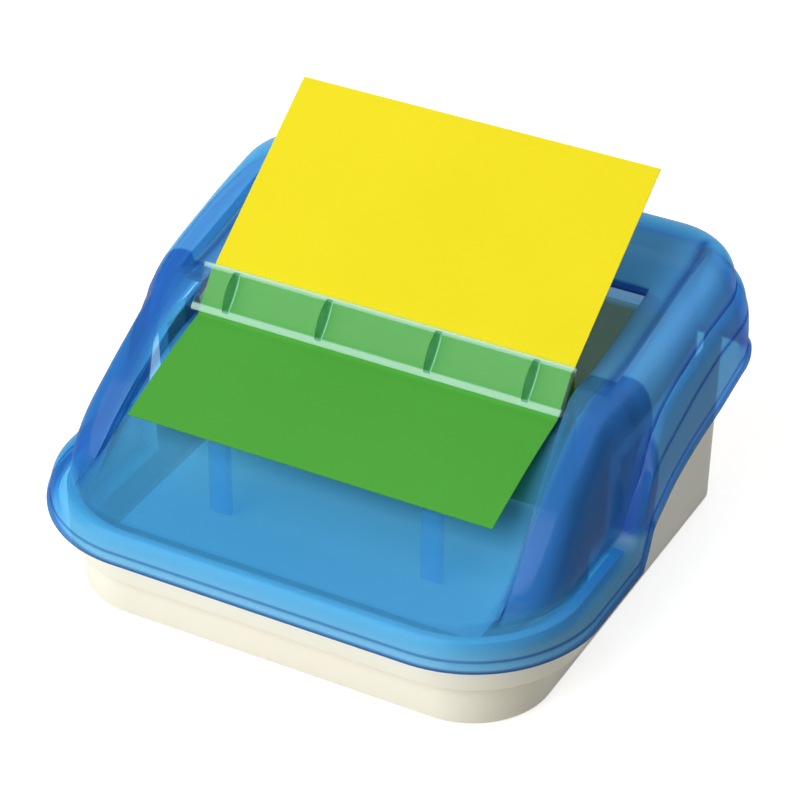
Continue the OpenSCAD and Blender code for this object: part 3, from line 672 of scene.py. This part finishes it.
def addArms(shell):  # a rib under the roof, an arm down to the hub, and the peg, on each side
    a = armSize
    x1 = a["outer"]
    x0 = x1 - a["thick"]
    ys = np.linspace(a["ribFront"], a["axisY"] + a["armTop"], 50)
    under = roofHeight(np.full_like(ys, x1), ys) - a["underRoof"]
    ribLow = columns(ys, under - a["ribDrop"] * smoothStep((ys - ys[0]) / 4 + 0.1))
    ribHigh = columns(ys, under)
    hang = np.linspace(0, 1, 30)
    turn = np.radians(np.linspace(0, 88, 24))[1:]
    bottom = a["axisZ"] - a["hub"] * np.sin(turn)
    edges = []
    for way, topY in ((-1, a["axisY"] - a["armTop"]), (1, a["axisY"] + a["hub"])):  # front edge, rear edge
        topZ = roofHeight(x1, topY) - a["underRoof"]
        straight = columns(mix(topY, a["axisY"] + way * a["hub"], hang), mix(topZ, a["axisZ"], hang))
        bow = columns(a["axisY"] + way * a["hub"] * np.cos(turn), bottom)
        edges.append(np.concatenate([straight, bow]))
    for side in (1, -1):
        shell.add(*plate(ribLow, ribHigh, side * x0, side * x1, side * a["cut"]), a["ribTint"])
        shell.add(*plate(*edges, side * x0, side * x1, side * a["cut"]), a["armTint"])
        start = x1 - a["overlap"] if side > 0 else -a["pegEnd"]
        shell.add(*tube((start, a["axisY"], a["axisZ"]), 0, a["pegEnd"] - x1 + a["overlap"], a["peg"]))


def addFingers(shell):  # two flat fingers from under the slope to just above the pad
    g = fingerSize
    turn = np.radians(np.linspace(0, 88, 12))[1:]
    zs = np.linspace(float(curve(g["y"], floorLine)) - 2.0, g["foot"] + 1, 20)
    half = g["thick"] / 2
    front = np.concatenate([columns(g["y"] - half, zs),
                            columns(g["y"] - half * np.cos(turn), g["foot"] + 1 - np.sin(turn))])
    rear = front * [-1, 1] + [2 * g["y"], 0]
    for side in (1, -1):
        x0 = side * g["x"] - g["width"] / 2
        shell.add(*plate(front, rear, x0, x0 + g["width"], armSize["cut"]))


buildCover()


# The tray: one closed surface from the middle of its underside, over the wall, to the middle of its floor
print("tray")
traySize = dict(halfWidth=48.6, front=6.6, rear=96.9, draft=0.9 / 37, frontRadius=16.0, rearRadius=4.5,
                wall=2.2, floor=5.2, height=37.0, lipBottom=9.2, lipTop=20.1, lipHalf=52.75, lipFront=4.0,
                lipRadius=22.0, lipRear=44.0, tallFrom=48.0, slotIn=42.4, slotOut=45.4, slotBottom=15.0,
                padMiddle=52.0, hubIn=45.1, hubOut=47.2)
guideSize = dict(near=38.3, far=39.9, short=29.3, overlap=0.3, bottom=4.9, top=9.2)


def planPoint(s, half, front, rear, rf, rr):
    # point of the right half of a rounded outline, and its outward direction, at share s of the way
    a = np.radians(90)
    lengths = np.array([half - rf, rf * a, rear - front - rf - rr, rr * a, half - rr])
    ends = np.concatenate([[0], np.cumsum(lengths)])
    at = s * ends[-1]
    k = np.clip(np.searchsorted(ends, at, side="right") - 1, 0, 4)
    u = (at - ends[k]) / lengths[k]
    angle = u * a
    x = np.choose(k, [u * (half - rf), half - rf + rf * np.sin(angle), np.full_like(u, half),
                      half - rr + rr * np.cos(angle), (half - rr) * (1 - u)])
    y = np.choose(k, [np.full_like(u, front), front + rf - rf * np.cos(angle), mix(front + rf, rear - rr, u),
                      rear - rr + rr * np.sin(angle), np.full_like(u, rear)])
    nx = np.choose(k, [0 * u, np.sin(angle), 0 * u + 1, np.cos(angle), 0 * u])
    ny = np.choose(k, [0 * u - 1, -np.cos(angle), 0 * u, np.sin(angle), 0 * u + 1])
    return columns(x, y), columns(nx, ny)


def buildTray():
    # one section for each share of the half outline, from the pocket below over the wall or lip to the
    # floor inside, and then their mirror images
    t = traySize
    # even shares of the half outline, and two close together at each step of the wall
    s = np.linspace(0, 1, 170)
    base, out = planPoint(s, t["halfWidth"], t["front"], t["rear"], t["frontRadius"], t["rearRadius"])
    side = out[:, 0] > 0.999
    stepsY = [t["lipRear"], t["lipRear"] + 0.02, t["lipRear"] - t["wall"], t["lipRear"] - t["wall"] - 0.02,
              t["tallFrom"], t["tallFrom"] + 0.02]
    sideY = base[side][:, 1]
    extra = np.interp(stepsY, sideY, s[side])
    rearX = base[out[:, 1] > 0.999][:, 0]
    slotX = [t["slotIn"], t["slotIn"] - 0.02]
    extra = np.concatenate([extra, np.interp(np.negative(slotX), -rearX, s[out[:, 1] > 0.999])])
    corner = (base[:, 1] > t["rear"] - t["rearRadius"]) & (base[:, 0] > 44.1)
    cornerS, cornerX = s[corner], base[corner][:, 0]
    extra = np.concatenate([extra, np.interp([-t["slotOut"] - 0.02, -t["slotOut"]], -cornerX, cornerS)])
    s = np.sort(np.concatenate([s, extra]))
    base, out = planPoint(s, t["halfWidth"], t["front"], t["rear"], t["frontRadius"], t["rearRadius"])
    lipAt, lipOut = planPoint(s, t["lipHalf"], t["lipFront"], t["rear"], t["lipRadius"], t["rearRadius"])
    straight = columns(t["lipHalf"], base[:, 1])
    lipAt = np.where((base[:, 1] > t["lipFront"] + t["lipRadius"])[:, None], straight, lipAt)
    y = base[:, 1]
    hasLip = (y <= t["lipRear"] + 0.001) & (out[:, 1] < 0.5)
    hollowLip = (y <= t["lipRear"] - t["wall"] - 0.001) & (out[:, 1] < 0.5)
    tall = y >= t["tallFrom"] + 0.001
    slotHere = (base[:, 0] >= t["slotIn"] - 0.001) & (base[:, 0] <= t["slotOut"] + 0.001) & (y > 92)
    top = np.where(tall, np.where(slotHere, t["slotBottom"], t["height"]), t["lipTop"])

    def wallAt(inset, z):  # the drafted tub's wall
        grow = np.broadcast_to(z * t["draft"] - inset, len(s))[:, None]
        return np.column_stack([base + out * grow, np.broadcast_to(z, len(s))])

    def lipWall(inset, z):  # the upright face of the front lip
        return np.column_stack([lipAt - lipOut * inset, np.broadcast_to(z, len(s))])

    def either(mask, a, b):  # a's points where the mask holds, else b's
        return np.where(mask[:, None], a, b)

    w = t["wall"]
    low, rise = t["lipBottom"], t["lipTop"]
    soft = 0.5
    pocketEdge, pocketIn, pocketDeep, plate = 1.8, 4.4, 3.2, 1.4
    outer = [wallAt(pocketEdge, 0.0), wallAt(soft, 0.0), wallAt(soft * 0.3, soft * 0.3), wallAt(0, soft),
             wallAt(0, low - 0.9), wallAt(0, low - 0.35)]
    outer += [either(hasLip, wallAt(-0.35, low), wallAt(0, low)),
              either(hasLip, lipWall(0.4, low), wallAt(0, low + 0.4)),
              either(hasLip, lipWall(0.12, low + 0.12), wallAt(0, low + 0.8)),
              either(hasLip, lipWall(0, low + 0.4), wallAt(0, low + 1.2)),
              either(hasLip, lipWall(0, rise - 0.4), wallAt(0, np.maximum(top - 0.4, low + 1.6))),
              either(hasLip, lipWall(0.12, rise - 0.12), wallAt(0.12, np.maximum(top - 0.12, low + 1.8))),
              either(hasLip, lipWall(0.4, rise), wallAt(0.4, top))]
    ledge, floor = low + w, t["floor"]
    inner = [either(hollowLip, lipWall(w - 0.4, rise), wallAt(w - 0.4, top)),
             either(hollowLip, lipWall(w - 0.12, rise - 0.12), wallAt(w - 0.12, top - 0.12)),
             either(hollowLip, lipWall(w, rise - 0.4), wallAt(w, top - 0.4)),
             either(hollowLip, lipWall(w, ledge + 0.4), wallAt(w, ledge + 1.2)),
             either(hollowLip, lipWall(w + 0.4, ledge), wallAt(w, ledge + 0.6)),
             either(hollowLip, wallAt(w - 0.3, ledge), wallAt(w, ledge)),
             wallAt(w, ledge - 0.3), wallAt(w, floor + 0.6), wallAt(w + 0.2, floor + 0.15),
             wallAt(w + 0.6, floor)]
    under = [wallAt(pocketIn, pocketDeep), wallAt(pocketIn, plate), wallAt(pocketEdge, plate)]
    half = np.stack([*under, *outer, *inner], axis=1)
    mirrored = half[-2:0:-1] * np.array([-1.0, 1, 1])
    points = np.concatenate([half, mirrored])
    m = len(points)
    poleLow = np.tile([0, t["padMiddle"], pocketDeep], (m, 1, 1))
    poleHigh = np.tile([0, t["padMiddle"], floor], (m, 1, 1))
    points = np.concatenate([poleLow, points, poleHigh], axis=1)
    tray = Body()
    tray.add(*closeEnds(points))
    addTrayFittings(tray)
    tray.make("trayTub", "base", ivory, ["base_tray"], 35)


def addTrayFittings(tray):  # hinge hubs and the four corner guides of the pad
    t, a, g = traySize, armSize, guideSize
    along = ((g["near"], g["far"]), (g["short"], g["far"]), g["top"])  # x, y and top of the leg at the side
    across = ((g["short"], g["near"] + g["overlap"]), (g["near"], g["far"]), g["top"] - 0.01)
    for side in (1, -1):
        start = t["hubIn"] if side > 0 else -t["hubOut"]
        hub = tube((start, a["axisY"], a["axisZ"]), 0, t["hubOut"] - t["hubIn"], a["hub"], 48, 0.3)
        tray.add(*hub)
        for end in (1, -1):
            for x, y, top in (along, across):
                xs = sorted(side * q for q in x)
                ys = sorted(t["padMiddle"] + end * q for q in y)
                tray.add(*roundedBox((xs[0], ys[0], g["bottom"]), (xs[1], ys[1], top), 0.3))


buildTray()


# The clear bar: a dished strip with lens ribs, and a pin at each end
print("bar")
# the last three values paint highlights as more cloud: on the ribs' right edges and along the two lips
barSize = dict(y=44.75, z=44.443, angle=51.4, depth=9.5, edge=1.6, middle=0.9, lip=0.9, rear=0.5, half=38.9,
               ribs=(-31.6, -11.5, 11.5, 31.6), ribWidth=1.4, ribBulge=1.2, pin=0.6, pinOut=1.4,
               pinAt=(0.7, 0.8), ribTint=0.75, ribEdgeHighlight=-0.6, lowLipHighlight=-0.42, highLipHighlight=-0.3)


def barPlace(points):  # from the bar's own slope and thickness directions to y and z
    b = barSize
    a = math.radians(b["angle"])
    x, u, v = points[:, 0], points[:, 1], points[:, 2]
    y = b["y"] + u * math.cos(a) - v * math.sin(a)
    z = b["z"] + u * math.sin(a) + v * math.cos(a)
    return columns(x, y, z)


def barSection(u, v):  # the same for one point, as y and z
    return barPlace(np.array([[0.0, u, v]]))[0, 1:]


def buildBar():
    # the strip's section is a shallow parabola between two square edges, and each rib is one standing on it
    b = barSize
    s = np.linspace(-1, 1, 25)
    u = mix(b["lip"], b["depth"] - b["rear"], (s + 1) / 2)
    dish = b["middle"] + (b["edge"] - b["middle"]) * s**2
    r = 0.22
    lowEnd = [[r, 0], [r * 0.3, r * 0.3], [0, r * 1.2], [0, b["edge"] - r], [r * 0.3, b["edge"] - r * 0.3],
              [r, b["edge"]], [b["lip"] - 0.25, b["edge"]]]
    highEnd = [[b["depth"] - b["rear"] + 0.15, b["edge"]], [b["depth"] - r, b["edge"]],
               [b["depth"] - r * 0.3, b["edge"] - r * 0.3], [b["depth"], b["edge"] - r], [b["depth"], r],
               [b["depth"] - r * 0.3, r * 0.3], [b["depth"] - r, 0]]
    back = columns(np.linspace(b["depth"] - 1, 1, 14), 0.0)
    outline = np.concatenate([lowEnd, columns(u, dish), highEnd, back])
    bar = Body()
    points, quads = extrudeX(outline, -b["half"], b["half"], 0.15, 24)
    # painted highlights: more cloud along the lower lip and the upper edge
    low = (points[:, 1] < 1.5) & (points[:, 2] > 0.3)
    high = points[:, 1] > b["depth"] - 0.9
    bar.add(barPlace(points), quads, b["lowLipHighlight"] * low + b["highLipHighlight"] * high)
    for x in b["ribs"]:
        lens = np.concatenate([columns(u, b["edge"] + b["ribBulge"] * (1 - s**2)),
                               columns(u[::-1], dish[::-1] - 0.02)])
        points, quads = extrudeX(lens, x - b["ribWidth"] / 2, x + b["ribWidth"] / 2, 0.2, 2)
        # painted highlight: a line of more cloud along each rib's right edge
        shine = (points[:, 0] > x + b["ribWidth"] / 2 - 0.25) & (points[:, 2] < b["edge"] - 0.02)
        bar.add(barPlace(points), quads, np.where(shine, b["ribEdgeHighlight"], b["ribTint"]))
    pinY, pinZ = barSection(*b["pinAt"])
    bar.add(*tube((b["half"] - 0.1, pinY, pinZ), 0, b["pinOut"] + 0.1, b["pin"], 24, 0.15))
    bar.add(*tube((-b["half"] - b["pinOut"], pinY, pinZ), 0, b["pinOut"] + 0.1, b["pin"], 24, 0.15))
    bar.make("barStrip", "lid", clearBar, ["bar"], 30)


buildBar()


# Paper: each sheet is a thin closed strip along its way round the bar
print("paper")
noteSize = dict(half=38.0, thick=0.2, padTop=14.2, off=0.35, fold=0.45, frontOut=27.0, frontSlope=17.0,
                frontWave=0.5, backOut=41.6, backAngle=34.4, gap=0.5, bend=1.0)


def dropCurve(z, low, high):  # y of a sheet's hanging part at height z
    end = noteSize["fold"]
    table = [(noteSize["padTop"] + 0.8, high + end + 4.3), (barSize["z"] - 19.4, high + end + 2.8),
             (barSize["z"] - 4.4, high + end + 0.8), (low, high + end)]
    return curve(z, table)


def sheetPiece(name, path, material, node):
    # a strip along a path in y and z, each face half the thickness off the path along its normal
    q = noteSize
    way = np.gradient(path, axis=0)
    normal = columns(-way[:, 1], way[:, 0]) / np.linalg.norm(way, axis=1, keepdims=True)
    x = np.linspace(-q["half"], q["half"], 41)
    sheets = []
    for side in (0.5, -0.5):
        face = path + normal * side * q["thick"]
        sheets.append(np.stack([np.column_stack([np.full(len(face), at), face]) for at in x], axis=1))
    ring = np.concatenate([sheets[0], sheets[1][:, ::-1]], axis=1)
    m, n = ring.shape[:2]
    body = ring.reshape(-1, 3)
    quads = gridFaces(m, n, False, True)
    half = n // 2
    j = np.arange(half - 1)
    caps = np.concatenate([np.stack([j, j + 1, n - 2 - j, n - 1 - j], axis=1),
                           (m - 1) * n + np.stack([n - 1 - j, n - 2 - j, j + 1, j], axis=1)])
    sheet = Body()
    sheet.add(body, np.concatenate([quads, caps]))
    sheet.make(name, "lid", material, [node], 40)


def buildNotes():
    # green: out in front, up behind the bar, over its top and down; yellow: from the back, a bend and down
    q, b = noteSize, barSize
    foldC = barSection(b["depth"] - 0.9, -q["off"] - q["fold"])
    frontEnd = barSection(-0.4, -q["off"] - 0.3)
    slope = math.radians(q["frontSlope"])
    s = np.linspace(1, 0.03, 40)
    wave = q["frontWave"] * np.sin(np.radians(180 * s))
    front = columns(frontEnd[0] - s * q["frontOut"] * math.cos(slope),
                    frontEnd[1] - s * q["frontOut"] * math.sin(slope) + wave)
    climb = [barSection(u, -q["off"]) for u in np.linspace(0.6, b["depth"] - 1.2, 14)]
    turn = np.radians(np.linspace(b["angle"] + 90, 0, 12))
    fold = columns(foldC[0] + q["fold"] * np.cos(turn), foldC[1] + q["fold"] * np.sin(turn))
    z = np.linspace(foldC[1] - 0.8, q["padTop"] + 0.8, 40)
    drop = columns(dropCurve(z, foldC[1], foldC[0]), z)
    bend = roundCorners(np.column_stack([np.zeros(3), [front[-1], frontEnd, climb[0]]]), 2)[1:-1, 1:]
    green = np.concatenate([front, bend, climb, fold, drop])
    sheetPiece("greenSheet", green, greenPaper, "green_note")
    bendC = np.array([foldC[0] + q["fold"] + q["gap"] + q["bend"], foldC[1] + 0.1])
    up = math.radians(q["backAngle"])
    bendEnd = bendC + q["bend"] * np.array([-math.sin(up), math.cos(up)])
    s = np.linspace(1, 0.02, 50)[:, None]
    back = bendEnd + s * q["backOut"] * np.array([math.cos(up), math.sin(up)])
    turn = np.radians(np.linspace(90 + q["backAngle"], 180, 10))
    bend = columns(bendC[0] + q["bend"] * np.cos(turn), bendC[1] + q["bend"] * np.sin(turn))
    z = np.linspace(foldC[1] - 1.2, q["padTop"] + 2.8, 40)
    drop = columns(dropCurve(z, foldC[1], foldC[0]) + q["gap"], z)
    yellow = np.concatenate([back, bend, drop])
    sheetPiece("yellowSheet", yellow, yellowPaper, "yellow_note")


buildNotes()


padSize = dict(half=37.9, layers=45, slip=0.04)


def buildPad():  # the stack, in thin layers that don't lie quite true
    rng = np.random.default_rng(5)
    layers, slip = padSize["layers"], padSize["slip"]
    bottom, top, middle = traySize["floor"], noteSize["padTop"], traySize["padMiddle"]
    z = np.repeat(np.linspace(bottom, top, layers + 1), 2)[1:-1]
    dx = np.repeat(rng.normal(0, slip, layers), 2)
    dy = np.repeat(rng.normal(0, slip, layers), 2)
    a = np.array([[-1, -1], [1, -1], [1, 1], [-1, 1]], float)
    xy = a[:, None, :] * padSize["half"] + np.stack([dx, dy + middle], axis=1)[None]
    points = np.concatenate([xy, np.broadcast_to(z[None, :, None], (4, len(z), 1))], axis=2)
    low = np.tile([0, middle, bottom], (4, 1, 1))
    high = np.tile([0, middle, top], (4, 1, 1))
    pad = Body()
    pad.add(*closeEnds(np.concatenate([low, points, high], axis=1)))
    pad.make("noteStack", "base", stackPaper, ["note_pad"], 20)


buildPad()


# The plate, weight, screws and feet stay as they come from the solid, with a finish each
print("underside")
underneath = dict(bottom_plate=ivory, ballast_plate=steel, plate_screws=zinc, foot_front_left=rubber,
                  foot_front_right=rubber, foot_rear_left=rubber, foot_rear_right=rubber)
for nodeName, finish in underneath.items():
    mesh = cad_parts[nodeName].data
    mesh.materials.clear()
    mesh.materials.append(finish)


# Floor, light and camera
print("stage")
studio = dict(world=0.10, warm=rgb(1, 0.94, 0.82), floorGlow=0.8, floorMatt=rgb(0.55, 0.52, 0.46))
lamps = dict(keyLamp=dict(at=(-0.78, -1.6, 1.25), aim=(0, 0, 0.02), size=2.3, power=55.0),
             topLamp=dict(at=(0.1, 0.5, 1.9), aim=(0, 0, 0.03), size=2.0, power=12.0),
             fillLamp=dict(at=(1.6, -0.6, 0.8), aim=(0, 0, 0.03), size=1.6, power=0.3))
shot = dict(turn=28.42, tilt=33.75, far=0.663, target=(-21.36, 94.70, 0), sensor=36.0, lens=144.0)


def makeFloor():  # white where a camera, gloss or glass ray meets it, and matt so that it takes the shadow
    f = Finish("paleFloor")
    path = f.node("LightPath")
    seen = f.val(path, "Is Camera Ray").math("MAXIMUM", f.val(path, "Is Glossy Ray"))
    seen = seen.math("MAXIMUM", f.val(path, "Is Transmission Ray"))
    white = f.node("Emission", {"Color": rgb(1, 1, 1), "Strength": studio["floorGlow"]})
    matt = f.node("BsdfPrincipled", {"Base Color": studio["floorMatt"], "Roughness": 0.9})
    nothing = f.node("BsdfTransparent", {"Color": rgb(0, 0, 0)})
    glow = f.node("MixShader", {0: seen, 1: nothing, 2: white})
    shader = f.node("AddShader", {0: matt, 1: glow})
    mesh = bpy.data.meshes.new("floorMesh")
    mesh.from_pydata([(-4, -4, 0), (4, -4, 0), (4, 4, 0), (-4, 4, 0)], [], [(0, 1, 2, 3)])
    mesh.materials.append(f.output(shader))
    floor = linked("floor", mesh)


def makeWorld():  # white to the camera, soft and warm as a light
    world = bpy.data.worlds.new("studioWorld")
    bpy.context.scene.world = world
    world.use_nodes = True
    tree = world.node_tree
    tree.nodes.clear()
    path = tree.nodes.new("ShaderNodeLightPath")
    pale = tree.nodes.new("ShaderNodeBackground")
    pale.inputs["Color"].default_value = rgb(1, 1, 1)
    pale.inputs["Strength"].default_value = 1.0
    soft = tree.nodes.new("ShaderNodeBackground")
    soft.inputs["Color"].default_value = studio["warm"]
    soft.inputs["Strength"].default_value = studio["world"]
    blend = tree.nodes.new("ShaderNodeMixShader")
    out = tree.nodes.new("ShaderNodeOutputWorld")
    tree.links.new(path.outputs["Is Camera Ray"], blend.inputs[0])
    tree.links.new(soft.outputs[0], blend.inputs[1])
    tree.links.new(pale.outputs[0], blend.inputs[2])
    tree.links.new(blend.outputs[0], out.inputs["Surface"])


def aimed(name, data, at, way):  # a lamp or camera that looks along a direction
    holder = linked(name, data)
    holder.location = at
    holder.rotation_euler = Vector(way).to_track_quat("-Z", "Y").to_euler()
    return holder


def addLamp(name, at, aim, size, power):  # a round lamp; places in metres, power in watts
    lamp = bpy.data.lights.new(name, "AREA")
    lamp.shape, lamp.size, lamp.energy = "DISK", size, power
    aimed(name, lamp, at, Vector(aim) - Vector(at))


makeFloor()
makeWorld()
for lampName, values in lamps.items():
    addLamp(lampName, **values)


def makeCamera():  # the photograph's angle, fitted to the note's corners and the cover's rim
    turn, tilt = math.radians(shot["turn"]), math.radians(shot["tilt"])
    ahead = np.array([-math.sin(turn) * math.cos(tilt), math.cos(turn) * math.cos(tilt), -math.sin(tilt)])
    camera = bpy.data.cameras.new("camera")
    camera.sensor_width, camera.lens = shot["sensor"], shot["lens"]
    camera.clip_start, camera.clip_end = 0.02, 20
    at = metres(shot["target"]) - ahead * shot["far"]
    bpy.context.scene.camera = aimed("camera", camera, at, ahead)


makeCamera()
bpy.context.scene.view_settings.view_transform = "Standard"
